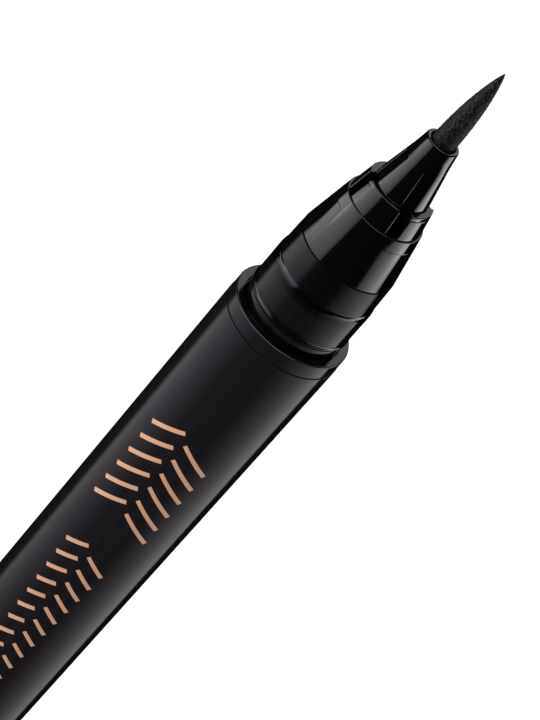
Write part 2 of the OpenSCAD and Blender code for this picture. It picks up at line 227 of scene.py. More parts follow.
def board(name, rows, strength=0, across=(), upward=(), distance=board_distance):
    """A board bent round the pen. A row is a height and the board's two ends there, in degrees
    from the front. A lit board has its levels across and upward as stops. One that reaches below
    the floor lights nothing, so that no bright patch falls there. One nearer to the pen is clear,
    and its light is added to the board's behind it."""
    low, high = rows[0][0], rows[-1][0]
    corners, faces, shares = [], [], []
    for height, start, end in rows:
        for i in range(board_steps + 1):
            turn = math.radians(start + (end - start) * i / board_steps)
            corners.append((distance * math.sin(turn), -distance * math.cos(turn), height))
            shares.append((i / board_steps, (height - low) / (high - low)))
    for j in range(len(rows) - 1):
        for i in range(board_steps):
            first = j * (board_steps + 1) + i
            faces.append((first, first + 1, first + board_steps + 2, first + board_steps + 1))
    paint = new_finish(name) if strength else black_board
    if strength:
        place = paint.add("ShaderNodeTexCoord", {}, {}, "UV")
        levels = [paint.add("ShaderNodeValToRGB", {"stops": stops}, {
            0: paint.add("ShaderNodeSeparateXYZ", {}, {0: place}, axis)})
            for axis, stops in (("X", across), ("Y", upward))]
        light = paint.add("ShaderNodeVectorMath", {"operation": "MULTIPLY"}, {0: levels[0], 1: levels[1]})
        glow = paint.add("ShaderNodeEmission", {}, {"Color": light, "Strength": strength})
        if distance < board_distance:
            clear = paint.add("ShaderNodeBsdfTransparent", {}, {})
            glow = paint.add("ShaderNodeAddShader", {}, {0: glow, 1: clear})
        paint.add("ShaderNodeOutputMaterial", {}, {"Surface": glow})
    made = new_object(name, corners, faces, paint)
    places = made.data.uv_layers.new(name="UVMap").data
    for loop in made.data.loops:
        places[loop.index].uv = shares[loop.vertex_index]
    hide_board(made, strength > 0 and low > 0)


left_low = [(board_foot, -14, -114), (60, -19, -114), (78, -20, -117)]
left_middle = [(78, -36, -117), (96, -33, -106), (107, -31, -104), (109.5, -30, -117), (114, -30, -114),
               (117, -30, -96), (123, -29, -92)]
left_high = [(123, -29, -92), (126, -28, -90), (130, -28, -84), (200, -27, -84)]
right_low = [(board_foot, 22, 129), (78, 28, 127)]
right_middle = [(78, 34, 127), (98, 48, 109), (104, 50, 109), (107, 53, 113), (109, 55, 124), (114, 57, 128),
                (117, 55, 130), (121, 52, 132)]
right_high = [(121, 78, 132), (123, 84, 132), (126, 88, 132), (130, 93, 132), (150, 97, 132)]
even = ((0, 1), (1, 1))
peak = ((0, 0), (0.5, 1), (1, 0))
board("soft_box_left_low", left_low, strength=0.92,
      across=((0, 0), (0.85, 1), (0.88, 0.97), (1, 0.03)),
      upward=((0, 0.45), (0.6, 0.6), (0.8, 0.85), (0.9, 0.97), (0.95, 0.86), (0.98, 0.7)))
board("soft_box_left", left_middle, strength=2.8,
      across=((0, 0.2), (0.12, 0.5), (0.45, 0.74), (0.7, 1), (0.86, 0.97), (1, 0.03)),
      upward=((0, 0.36), (0.11, 0.31), (0.27, 0.44), (0.66, 0.8), (0.85, 1)))
board("soft_box_left_high", left_high, strength=2.9,
      across=((0, 0.15), (0.12, 0.4), (0.45, 0.7), (0.6, 0.85), (0.8, 1), (1, 0.1)), upward=even)
board("light_strip", [(78, -68, -80), (110, -68, -80), (130, -66, -78), (150, -62, -74)],
      strength=3, across=peak,
      upward=((0, 0.03), (0.44, 0.05), (0.5, 0.17), (0.535, 1), (0.555, 0.85), (0.6, 0.25), (0.7, 0.08),
              (1, 0.05)), distance=strip_distance)
board("soft_box_right_low", right_low, strength=1.06,
      across=((0, 0), (0.2, 0.13), (0.5, 0.52), (0.8, 1), (1, 0.95)),
      upward=((0, 0.5), (0.6, 0.72), (0.8, 0.85), (0.92, 0.98), (0.98, 0.9)))
board("soft_box_right", right_middle, strength=4.2,
      across=((0, 0.02), (0.07, 0.18), (0.15, 0.3), (0.33, 0.47), (0.62, 0.9), (0.78, 1), (0.9, 0.85),
              (1, 0.2)),
      upward=((0, 0.3), (0.12, 0.23), (0.45, 0.44), (0.7, 0.85), (0.8, 0.94), (1, 0.84)))
board("soft_box_right_high", right_high, strength=3.4,
      across=((0, 0.15), (0.35, 0.6), (0.6, 1), (0.8, 0.85), (1, 0.5)), upward=even)
board("light_strip_right", [(109, 96, 108), (113, 96, 108)],
      strength=2.6, across=peak, upward=peak, distance=strip_distance)
board("board_front_low", [(board_foot, -14, 22), (78, -20, 28)], strength=0.18,
      across=((0, 0.67), (0.35, 0.6), (0.52, 0.25), (0.75, 0.25), (0.87, 0.7), (1, 1)),
      upward=((0.85, 1), (0.97, 0.4)))
board("board_front_band", [(78, -36, 34), (84, -35, 38)], strength=0.11,
      across=((0, 1), (0.16, 0.5), (0.31, 0.2), (0.48, 0), (0.71, 0.12), (0.86, 0.45), (1, 0.8)),
      upward=((0.6, 1), (1, 0)))
board("board_front",
      [(84, -35, 38), (98, -33, 48), (104, -32, 50), (107, -31, 53), (109, -31, 55), (114, -30, 57),
       (117, -30, 55), (121, -29, 52), (121, -29, 78), (123, -29, 84), (126, -28, 88), (130, -28, 93),
       (150, -27, 97), (200, -27, 100), (380, -60, 100)])
board("board_back_left",
      [(height, end, -board_back) for height, start, end in left_low + left_middle[1:] + left_high[1:-1]]
      + [(165, -84, -board_back), (165, -84, -150), (200, -84, -150)])
board("board_back_right",
      [(height, end, board_back) for height, start, end in right_low + right_middle[1:] + right_high[-1:]]
      + [(150, 100, board_back), (165, 100, board_back), (165, 100, 150), (200, 100, 150)])
board("board_high", [(200, -150, 150), (270, -150, 150)])


def flat_board(name, height, depth, paint):
    """A level board as wide as the bent ones stand apart, that reaches back from the front ones."""
    front, back = -board_distance, depth - board_distance
    corners = [(-board_distance, front, height), (board_distance, front, height),
               (board_distance, back, height), (-board_distance, back, height)]
    hide_board(new_object(name, corners, [(0, 1, 2, 3)], paint), False)


flat_board("board_under", board_foot, 2 * board_distance, black_board)
top_paint = new_finish("soft_box_top")
top_paint.add("ShaderNodeOutputMaterial", {}, {
    "Surface": top_paint.add("ShaderNodeEmission", {}, {"Color": (1, 1, 1, 1), "Strength": top_power})})
flat_board("soft_box_top", top_height, top_depth, top_paint)

# The barrel
# One tube in satin black lacquer with a faint purple cast. Its rear part is the ink tank, and a
# step in the bore stops the tank's plug.
lathe_sides = 192
fillet_steps = 8
sharp_angle = 14
seam_w = 0.08
seam_depth = 0.15
edge_row = 0.03
satin_fade = 1.6
unevenness = 0.12
cloud_scale = 260
grain_scale = 9000
satin_tone = (0.0085, 0.0072, 0.0092)
lilac = (0.95, 0.86, 1)
barrel_wall = 0.9
tank_step = 0.15
barrel_edge = 0.02


def low_high(node):
    """The lowest and highest point of a node, in millimetres."""
    return tuple(corner.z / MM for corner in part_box(node))


def rounded(corners):
    """An outline from corners, each a radius, a height and the fillet there."""
    points = []
    for i, (radius, height, fillet) in enumerate(corners):
        here = Vector((radius, height))
        before = Vector(corners[i - 1][:2]) - here
        after = Vector(corners[(i + 1) % len(corners)][:2]) - here
        if not fillet:
            points.append((radius, height))
            continue
        half_angle = before.angle(after) / 2
        reach = min(fillet / math.tan(half_angle), before.length / 2, after.length / 2)
        middle = (before.normalized() + after.normalized()).normalized() * (reach / math.cos(half_angle))
        spokes = [before.normalized() * reach - middle, after.normalized() * reach - middle]
        sweep = spokes[0].angle_signed(spokes[1])
        for k in range(fillet_steps + 1):
            spun = Matrix.Rotation(-sweep * k / fillet_steps, 2) @ spokes[0]
            points.append(tuple(here + middle + spun))
    return points


def finish_mesh(piece, angle=sharp_angle):
    """Closes doubles, turns every face of a closed piece outwards and smooths it."""
    work = bmesh.new()
    work.from_mesh(piece.data)
    bmesh.ops.remove_doubles(work, verts=work.verts, dist=MM / 10000)
    bmesh.ops.recalc_face_normals(work, faces=work.faces)
    work.to_mesh(piece.data)
    work.free()
    piece.data.shade_smooth()
    piece.data.set_sharp_from_angle(angle=math.radians(angle))
    return piece


def ring_faces(rings):
    """Faces between each ring of corner numbers and the next, and from the last to the first."""
    faces = []
    for lower, upper in zip(rings, rings[1:] + rings[:1]):
        for i in range(len(lower)):
            k = (i + 1) % len(lower)
            face = list(dict.fromkeys((lower[i], lower[k], upper[k], upper[i])))
            if len(face) > 2:
                faces.append(face)
    return faces


def edged(outline):
    """The outline with a point close to each end of its long sides, so that they stay flat."""
    points = []
    for here, there in zip(outline, outline[1:] + outline[:1]):
        here, there = Vector(here), Vector(there)
        points.append(tuple(here))
        if (there - here).length > 4 * edge_row:
            inset = (there - here).normalized() * edge_row
            points += [tuple(here + inset), tuple(there - inset)]
    return points


def turned(name, outline, finish, sides=lathe_sides):
    """A lathe-turned solid. Its outline goes round half of its section and closes itself."""
    corners, rings = [], []
    for radius, height in edged(outline):
        count = sides if radius > 0 else 1
        rings.append([len(corners) + i % count for i in range(sides)])
        corners += [(radius * math.cos(2 * math.pi * i / sides),
                     radius * math.sin(2 * math.pi * i / sides), height) for i in range(count)]
    return finish_mesh(new_object(name, corners, ring_faces(rings), finish))


def fit(piece, body, node):
    """A finished piece takes its node's place on its body."""
    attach(piece, body)
    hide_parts(node)


def black(name, colour, roughness, grain_depth, sheen_tint, zones=None):
    """Black lacquer or moulded plastic: cloudy in colour and gloss, with a fine grain. A satin surface shines
    more at a glancing angle. Zones give stops along the pen for its gloss, and for shading painted into its
    colour."""
    nodes = new_finish(name)
    place = nodes.add("ShaderNodeTexCoord", {}, {}, "Object")
    clouds = nodes.add("ShaderNodeTexNoise", {}, {"Vector": place, "Scale": cloud_scale, "Detail": 3})
    grain = nodes.add("ShaderNodeTexNoise", {}, {"Vector": place, "Scale": grain_scale, "Detail": 2})
    facing = 1 - nodes.add("ShaderNodeLayerWeight", {}, {"Blend": 0.5}, "Facing")
    gloss = facing.maths("POWER", facing, satin_fade) * roughness * (1 - unevenness / 2 + clouds * unevenness)
    # Its colour wanders at random, and along the zones it is darkened as painted shading.
    tone_and_painted_shade = 1 - unevenness + clouds * (2 * unevenness)
    if zones:
        low, high, gloss_stops, painted_shade_stops = zones
        height = (nodes.add("ShaderNodeSeparateXYZ", {}, {0: place}, "Z") / MM - low) / (high - low)
        gloss = gloss * nodes.add("ShaderNodeValToRGB", {"stops": gloss_stops}, {0: height})
        tone_and_painted_shade = tone_and_painted_shade * nodes.add("ShaderNodeValToRGB", {"stops": painted_shade_stops}, {0: height})
    tint = nodes.add("ShaderNodeVectorMath", {"operation": "SCALE"}, {0: colour, "Scale": tone_and_painted_shade})
    bump = nodes.add("ShaderNodeBump", {}, {"Height": grain, "Strength": grain_depth, "Distance": MM / 50})
    nodes.add("ShaderNodeOutputMaterial", {}, {"Surface": nodes.add("ShaderNodeBsdfPrincipled", {}, {
        "Base Color": tint, "Roughness": gloss, "Specular Tint": (*sheen_tint, 1), "Normal": bump})})
    return nodes


satin_black = black("satin_black", satin_tone, roughness=0.34, grain_depth=0.25, sheen_tint=lilac)

barrel_low, barrel_high = low_high("barrel")
body_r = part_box("barrel")[1].x / MM
bore_r = body_r - barrel_wall
tank_r = bore_r - tank_step
tank_high = low_high("tank_plug")[0]
barrel = turned("barrel_tube", rounded([
    (tank_r, barrel_low, 0.05), (body_r, barrel_low, barrel_edge), (body_r, barrel_high, barrel_edge),
    (bore_r, barrel_high, 0.05), (bore_r, tank_high, 0), (tank_r, tank_high, 0)]), satin_black)
fit(barrel, "pen", "barrel")

# The print
# Rose gold strokes printed on the front of the barrel: two herringbone columns of plain slanting
# strokes, a wide one and below it a narrow one whose strokes grow shorter.
stroke_depth = 0.012
stroke_sink = 0.004
stroke_parts = 12
rose_gold_tone = (0.77, 0.43, 0.275)
foil_cloud_scale = 900
foil_grain_scale = 12000

herringbone = bpy.data.node_groups.new("herringbone", "GeometryNodeTree")
for label, kind in (("Rows", "Int"), ("Top", "Float"), ("Pitch", "Float"), ("Length", "Float"),
                    ("Last length", "Float"), ("Width", "Float"), ("Lean", "Float"), ("Gap", "Float"),
                    ("Radius", "Float"), ("Finish", "Material")):
    herringbone.interface.new_socket(label, in_out="INPUT", socket_type="NodeSocket" + kind)
herringbone.interface.new_socket("Strokes", in_out="OUTPUT", socket_type="NodeSocketGeometry")
strokes = Nodes(herringbone)


def asked(label):
    """An input of the herringbone."""
    return strokes.add("NodeGroupInput", {}, {}, label)


number = strokes.add("GeometryNodeInputIndex", {}, {})
side = number.maths("MODULO", number, 2)
row = number.maths("FLOOR", number / 2)
share = row / (asked("Rows") - 1)
length = asked("Length") + (asked("Last length") - asked("Length")) * share
starts = strokes.add("GeometryNodeMeshLine", {}, {"Count": asked("Rows") * 2})
places = strokes.add("ShaderNodeCombineXYZ", {}, {
    0: asked("Gap") * (side * 2 - 1), 1: (stroke_depth - stroke_sink) / 2 * MM,
    2: asked("Top") - asked("Pitch") * (row + side * 0.5)})
starts = strokes.add("GeometryNodeSetPosition", {}, {"Geometry": starts, "Position": places})
stroke = strokes.add("GeometryNodeMeshCube", {}, {"Size": (1, 1, 1), "Vertices X": stroke_parts})
stroke = strokes.add("GeometryNodeTransform", {}, {"Geometry": stroke, "Translation": (0.5, 0, 0)})
turn = asked("Lean") * (side * 2 - 1) + math.pi * (1 - side)
strewn = strokes.add("GeometryNodeInstanceOnPoints", {}, {
    "Points": starts, "Instance": stroke,
    "Rotation": strokes.add("ShaderNodeCombineXYZ", {}, {1: turn}),
    "Scale": strokes.add("ShaderNodeCombineXYZ", {}, {
        0: length, 1: (stroke_depth + stroke_sink) * MM, 2: asked("Width")})})
flat = strokes.add("GeometryNodeRealizeInstances", {}, {"Geometry": strewn})
spot = strokes.add("GeometryNodeInputPosition", {}, {})
across, out, up = [strokes.add("ShaderNodeSeparateXYZ", {}, {0: spot}, axis) for axis in "XYZ"]
around = across / asked("Radius")
reach = asked("Radius") + out
wrapped = strokes.add("GeometryNodeSetPosition", {}, {
    "Geometry": flat, "Position": strokes.add("ShaderNodeCombineXYZ", {}, {
        0: reach * around.maths("SINE", around), 1: reach * around.maths("COSINE", around) * -1, 2: up})})
painted = strokes.add("GeometryNodeSetMaterial", {}, {"Geometry": wrapped, "Material": asked("Finish")})
strokes.add("NodeGroupOutput", {}, {"Strokes": painted})

rose_gold = new_finish("rose_gold_print")
foil_place = rose_gold.add("ShaderNodeTexCoord", {}, {}, "Object")
foil_clouds = rose_gold.add("ShaderNodeTexNoise", {}, {
    "Vector": foil_place, "Scale": foil_cloud_scale, "Detail": 3})
foil_grain = rose_gold.add("ShaderNodeTexNoise", {}, {
    "Vector": foil_place, "Scale": foil_grain_scale, "Detail": 2})
rose_gold.add("ShaderNodeOutputMaterial", {}, {"Surface": rose_gold.add("ShaderNodeBsdfPrincipled", {}, {
    "Base Color": rose_gold.add("ShaderNodeVectorMath", {"operation": "SCALE"}, {
        0: rose_gold_tone, "Scale": 0.9 + foil_clouds * 0.1 + foil_grain * 0.1}),
    "Roughness": 0.4 + foil_grain * 0.2, "Metallic": 0.15,
    "Normal": rose_gold.add("ShaderNodeBump", {}, {
        "Height": foil_grain, "Strength": 0.2, "Distance": MM / 100})})})


def printed(name, rows, top, pitch, length, last_length, width, lean, gap):
    """A herringbone column as a plain mesh on the barrel. Its lengths are in millimetres."""
    source = bpy.data.objects.new(name + "_source", bpy.data.meshes.new(name + "_source"))
    bpy.context.scene.collection.objects.link(source)
    pattern = source.modifiers.new("herringbone", "NODES")
    pattern.node_group = herringbone
    values = {"Rows": rows, "Top": top * MM, "Pitch": pitch * MM, "Length": length * MM,
              "Last length": last_length * MM, "Width": width * MM, "Lean": math.radians(lean),
              "Gap": gap * MM, "Radius": body_r * MM, "Finish": rose_gold.owner}
    for item in herringbone.interface.items_tree:
        if item.name in values:
            pattern[item.identifier] = values[item.name]
    shaped = source.evaluated_get(bpy.context.evaluated_depsgraph_get())
    piece = bpy.data.objects.new(name, bpy.data.meshes.new_from_object(shaped))
    bpy.data.objects.remove(source)
    bpy.context.scene.collection.objects.link(piece)
    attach(piece, "pen")


printed("print_wide", rows=6, top=117.5, pitch=1.8, length=3.4, last_length=3.4, width=0.38, lean=32, gap=0.3)
printed("print_narrow", rows=12, top=102.5, pitch=1.8, length=2.3, last_length=1.1, width=0.38, lean=32,
        gap=0.3)

# The tail plug
# A black moulding pressed into the barrel's rear end, with a ring that meets the posted cap and a
# hollow spigot that carries it.
ring_drop = 0.05
ring_gap = 0.1
spigot_r = 4.45
spigot_taper = 0.4
spigot_lead = 0.9
spigot_swell = 0.05
plug_wall = 1
plug_floor = 1.2
seal_d = 0.66
groove_w = 0.9
press_fit = 0.02


def hump(low, high, base_low, base_high, rise, crest=0.7, steps=12):
    """Points over a snap ridge: a gentle rear flank up to its crest and a short steep front one."""
    points = []
    for i in range(2 * steps + 1):
        flank = i / steps
        share = crest * flank if flank < 1 else crest + (1 - crest) * (flank - 1)
        lift = math.sin(math.pi / 2 * flank) ** 2 if flank < 1 else math.cos(math.pi / 2 * (flank - 1))
        points.append((base_low + (base_high - base_low) * share + rise * lift, low + (high - low) * share))
    return points


def ring_groove(radius, low, high):
    """Corners of a plug's side, with the groove that holds its rubber ring."""
    middle = (low + high) / 2
    depth = radius - seal_d - press_fit
    return [(radius, middle - groove_w / 2, 0.04), (depth, middle - groove_w / 2, 0.04),
            (depth, middle + groove_w / 2, 0.04), (radius, middle + groove_w / 2, 0.04)]


cap_high = low_high("cap_shell")[1]
plug_low, plug_high = low_high("tail_plug")
ring_low = cap_high + ring_gap
ring_r = body_r - ring_drop
plug_r = tank_r - press_fit
plug_bore_r = plug_r - seal_d - plug_wall
spigot_len = ring_low - plug_low
tail_plug = turned("tail_plug_moulding", [
    (0, plug_low),
    *rounded([(0, plug_low, 0), (spigot_r - spigot_taper, plug_low, 0.2),
              (spigot_r, plug_low + spigot_lead, 0.2), (spigot_r, plug_low + spigot_len / 2, 0)])[1:-1],
    *hump(ring_low - spigot_len / 2, ring_low - spigot_len / 4, spigot_r, spigot_r, spigot_swell),
    *rounded([(0, ring_low, 0), (spigot_r, ring_low, 0.04), (ring_r, ring_low, 0.06),
              (ring_r, barrel_low - seam_w, 0.02),
              (ring_r - seam_depth, barrel_low - seam_w, 0), (ring_r - seam_depth, barrel_low, 0),
              (plug_r, barrel_low, 0.04), *ring_groove(plug_r, barrel_low, plug_high),
              (plug_r, plug_high, 0.15), (plug_bore_r, plug_high, 0.1),
              (plug_bore_r, plug_low + plug_floor, 0.3), (0, plug_low + plug_floor, 0)])[1:]], satin_black)
fit(tail_plug, "pen", "tail_plug")

# The rubber rings
# One soft black ring in the groove of each plug and one on the section's tail, moulded, and
# pressed flat against the barrel's bore.


def dress(finish, *names):
    """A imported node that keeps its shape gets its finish."""
    for name in names:
        frame["nodes"][name].material_slots[0].material = finish.owner


def plain(name, dark, pale, roughness, scale, stretch=(1, 1, 1), metallic=0, depth=0.3):
    """A finish whose colour wanders between two tones, in specks or in streaks."""
    nodes = new_finish(name)
    place = nodes.add("ShaderNodeMapping", {}, {
        "Vector": nodes.add("ShaderNodeTexCoord", {}, {}, "Object"), "Scale": stretch})
    specks = nodes.add("ShaderNodeTexNoise", {}, {"Vector": place, "Scale": scale, "Detail": 4})
    tint = nodes.add("ShaderNodeMix", {"data_type": "RGBA"}, {0: specks, 6: (*dark, 1), 7: (*pale, 1)}, 2)
    bump = nodes.add("ShaderNodeBump", {}, {"Height": specks, "Strength": depth, "Distance": MM / 50})
    nodes.add("ShaderNodeOutputMaterial", {}, {"Surface": nodes.add("ShaderNodeBsdfPrincipled", {}, {
        "Base Color": tint, "Roughness": roughness * 0.8 + specks * (roughness * 0.4),
        "Metallic": metallic, "Normal": bump})})
    return nodes


dress(plain("seal_rubber", dark=(0.02, 0.02, 0.022), pale=(0.05, 0.05, 0.054), roughness=0.6, scale=3000),
      "tail_seal", "tank_seal", "section_seal")

# The mixing ball
# A polished steel ball that stirs the pigment when the pen is shaken. It is ground round, and it
# runs loose in the tank.
dress(plain("ball_steel", dark=(0.52, 0.53, 0.55), pale=(0.66, 0.67, 0.69), roughness=0.16, scale=1500,
            stretch=(1, 1, 0.1), metallic=1, depth=0.1), "mixing_ball")

# The plug and the ink collector
# Two unpainted white mouldings: the plug that closes the tank, and the comb whose fins hold back
# the ink that warmth drives out of it.
dress(plain("moulded_white", dark=(0.66, 0.66, 0.64), pale=(0.76, 0.76, 0.74), roughness=0.42, scale=400),
      "tank_plug", "ink_collector")

# The feed core
# A rod of bonded fibre that carries the ink to the brush tip, pale with streaks along its fibres.
# It passes through the tank's plug and the collector, which hold it.
dress(plain("core_fibre", dark=(0.58, 0.56, 0.50), pale=(0.82, 0.80, 0.74), roughness=0.85, scale=6000,
            stretch=(1, 1, 0.06), depth=0.8), "feed_core")

# The front section
# A satin black moulding: the flange ring that the cap meets, a groove round its face, the undercut
# root, two snap ridges with the cap's seat between them, and the band that carries the cone. Its
# tail is pressed into the barrel.
recess_r = 4.48
recess_depth = 0.9
root_r = 4.17
root_h = 0.55
rear_band_h = 0.5
line_cut = 0.05
fine_line = 0.12
fine_depth = 0.2
rear_ridge_h = 0.55
seat_h = 2.15
front_ridge_h = 1.05
shoulder_h = 0.75
ridge_land = 0.12
front_band_h = 2.62
seat_r = 4.43
ridge_r = 4.50
band_r = 4.325
band_front_r = 4.255
sleeve_len = 5.2
section_bore_r = 3.52
tail_bore_r = 3.235
# The undercut's darker colour is painted shading.
undercut_painted_shade_tone = (0.003, 0.0026, 0.003)


def fall(radius, height, last_radius, last_height, bend=3.4, steps=16):
    """Points from the foot of a snap ridge's flank, where it is soft, up to its steep end."""
    return [(radius + (last_radius - radius) * (i / steps) ** bend,
             height + (last_height - height) * i / steps) for i in range(steps + 1)]


section_low, section_high = low_high("front_section")
flange_face = section_high - (root_h + rear_band_h + 2 * line_cut + rear_ridge_h
                              + seat_h + front_ridge_h + front_band_h)
root_high = flange_face + root_h
line_low = root_high + rear_band_h
rear_ridge_low = line_low + 2 * line_cut
seat_low = rear_ridge_low + rear_ridge_h
front_ridge_high = seat_low + seat_h + front_ridge_h
section_tail_r = bore_r - press_fit

# Stops along the section, from its flange face to its front. The gloss ones scale its roughness. The others
# are painted shading in its colour: darker from the flange forward, and darkest on the two snap ridges and on
# the front band.
section_gloss = ((0, 1), (0.08, 0.7), (0.14, 0.6), (0.16, 0.3), (0.23, 0.3), (0.25, 0.85), (0.5, 0.85),
                 (0.53, 0.25), (0.63, 0.25), (0.66, 0.7))
section_painted_shade = ((0, 1), (0.08, 0.8), (0.14, 0.7), (0.16, 0.3), (0.23, 0.3), (0.25, 0.7), (0.5, 0.55),
                 (0.53, 0.2), (0.63, 0.2), (0.66, 0.3))
section_black = black("section_black", satin_tone, roughness=0.34, grain_depth=0.15, sheen_tint=lilac,
                      zones=(flange_face, section_high, section_gloss, section_painted_shade))
# The undercut's darker colour is painted shading in the seam and the recess, on the root and on the flange's
# front face; its lower roughness is its finish.
undercut_painted_shade_black = black("undercut_painted_shade_black", undercut_painted_shade_tone, roughness=0.1, grain_depth=0.05, sheen_tint=lilac)
front_section = turned("front_section_moulding", [
    *rounded([(tail_bore_r, section_low, 0.05), (section_tail_r, section_low, 0.15),
              *ring_groove(section_tail_r, section_low, barrel_high), (section_tail_r, barrel_high, 0.04),
              (ring_r - seam_depth, barrel_high, 0), (ring_r - seam_depth, barrel_high + seam_w, 0),
              (ring_r, barrel_high + seam_w, 0.02), (ring_r, flange_face, 0.12),
              (recess_r, flange_face, 0.03),
              (recess_r, flange_face - recess_depth, 0.04), (root_r, flange_face - recess_depth, 0.08),
              (root_r, root_high, 0.06), (ridge_r - line_cut, root_high, 0.04),
              (ridge_r - line_cut / 2, rear_ridge_low - fine_line, 0.01),
              (ridge_r - fine_depth, rear_ridge_low - fine_line, 0),
              (ridge_r - fine_depth, rear_ridge_low, 0), (ridge_r, rear_ridge_low, 0)])[:-1],
    (ridge_r, rear_ridge_low), *reversed(fall(seat_r, seat_low, ridge_r, rear_ridge_low + ridge_land)),
    *fall(seat_r, front_ridge_high - shoulder_h, band_r, front_ridge_high),
    *rounded([(0, front_ridge_high, 0), (band_front_r, section_high, 0.01),
              (section_bore_r, section_high, 0.03), (section_bore_r, section_high - sleeve_len, 0),
              (tail_bore_r, section_high - sleeve_len, 0),
              (0, section_low, 0)])[1:-1]], section_black)
# These faces take the undercut's painted shading.
front_section.data.materials.append(undercut_painted_shade_black.owner)
for face in front_section.data.polygons:
    inside = math.hypot(face.center.x, face.center.y) / MM < ring_r - 0.05
    if barrel_high < face.center.z / MM < root_high - 0.02 and (inside or face.normal.z > 0.9):
        face.material_index = 1
fit(front_section, "pen", "front_section")

# The front cone
# A polished black moulding whose sleeve is pressed into the section. A fine line parts off its
# front land, and its front edge carries the tip holder.
cone_lip = 0.36
cone_seam_w = 0.12
cone_land_h = 1.05
cone_land_rise = 0.012
land_line = 0.004
sleeve_r = 3.50
cone_bore_r = 3.02
gloss_tone = (0.0026, 0.0022, 0.0025)
cool_white = (0.98, 0.98, 1)

gloss_black = black("gloss_black", gloss_tone, roughness=0.08, grain_depth=0.02, sheen_tint=cool_white)
cone_low, cone_high = low_high("front_cone")
cone_rear_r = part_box("front_cone")[1].x / MM
cone_front_r = cone_bore_r + cone_lip
cone_slope = (cone_rear_r - cone_front_r) / (cone_high - section_high)
land_r = cone_front_r + cone_land_rise + cone_slope * cone_land_h
front_cone = turned("front_cone_moulding", rounded([
    (cone_bore_r, cone_low, 0.05), (sleeve_r, cone_low, 0.1), (sleeve_r, section_high, 0),
    (cone_rear_r - seam_depth, section_high, 0), (cone_rear_r - seam_depth, section_high + cone_seam_w, 0),
    (cone_rear_r, section_high + cone_seam_w, 0.04),
    (land_r + land_line, cone_high - cone_land_h - 0.02, 0), (land_r - land_line, cone_high - cone_land_h, 0),
    (land_r, cone_high - cone_land_h + 0.02, 0),
    (cone_front_r, cone_high, 0.05), (cone_bore_r, cone_high, 0.03)]), gloss_black)
fit(front_cone, "pen", "front_cone")

# The tip holder
# A polished black moulding pressed into the cone: a collar with four air slots, which run on as
# grooves along a small cone with a round mouth. Its bore grips the brush tip's shank.
holder_tail_r = 3.0
collar_rear_r = 3.25
collar_front_r = 2.85
collar_len = 2.12
collar_line_h = 0.36
collar_line_r = 0.065
holder_cone_r = 2.37
holder_cone_len = 3.85
mouth_land_r = 1.60
mouth_blend = 16
rim_r = 1.42
rim_slope_r = 0.066
rim_slope_h = 0.09
mouth_r = 1.10
mouth_depth = 1.1
tip_bore_r = 0.99
slot_w = 0.97
slot_count = 4
slot_turn = 30
slot_floor_r = 1.76
groove_depth = 0.2
groove_len = 3.05
slot_corner = 0.2
slot_bevel = 0.08
no_slot = 9
slot_columns = 12
wall_columns = 3
arc_columns = 36
row_step = 0.08
holder_sharp_angle = 32

holder_low, holder_high = low_high("nib_holder")
collar_high = cone_high + collar_len
slot_low = cone_high - (cone_high - holder_low) / 2


def with_rows(points, step):
    """An outline with points added where they lie further apart than a step."""
    filled = []
    for here, there in zip(points, points[1:] + points[:1]):
        count = max(1, math.ceil((Vector(there) - Vector(here)).length / step))
        filled += [tuple(Vector(here).lerp(Vector(there), i / count)) for i in range(count)]
    return filled


def slotted_ring(radius, height, half_width, floor_r):
    """One ring of the holder, with a slot in each quarter down to that floor radius. A floor
    outside the ring makes no slot."""
    depth = math.sqrt(radius ** 2 - half_width ** 2) - floor_r
    bevel = min(slot_bevel, max(depth, 0) / 2)
    edge = math.asin(half_width / radius)
    side = []
    for k in range(1, wall_columns + 1):
        lean = math.pi / 2 * k / wall_columns
        turn = edge + bevel * (1 - math.cos(lean)) / radius
        side.append((turn, radius - bevel * (1 - math.sin(lean))))
    half_slot = []
    for k in range(slot_columns // 2 + 1):
        across = half_width * 2 * k / slot_columns
        out = math.sqrt(radius ** 2 - across ** 2)
        out = min(out, floor_r) if depth > 0 else out
        half_slot.append((math.atan2(across, out), math.hypot(across, out)))
    arc_start = side[-1][0]
    arc_turn = 2 * (math.pi / slot_count - arc_start)
    arc = [(arc_start + arc_turn * k / arc_columns, radius) for k in range(1, arc_columns)]
    quarter = [(-turn, out) for turn, out in reversed(half_slot + side)] + half_slot[1:] + side + arc
    return [(out * math.cos(turn + math.radians(slot_turn + 360 / slot_count * q)),
             out * math.sin(turn + math.radians(slot_turn + 360 / slot_count * q)), height)
            for q in range(slot_count) for turn, out in quarter]


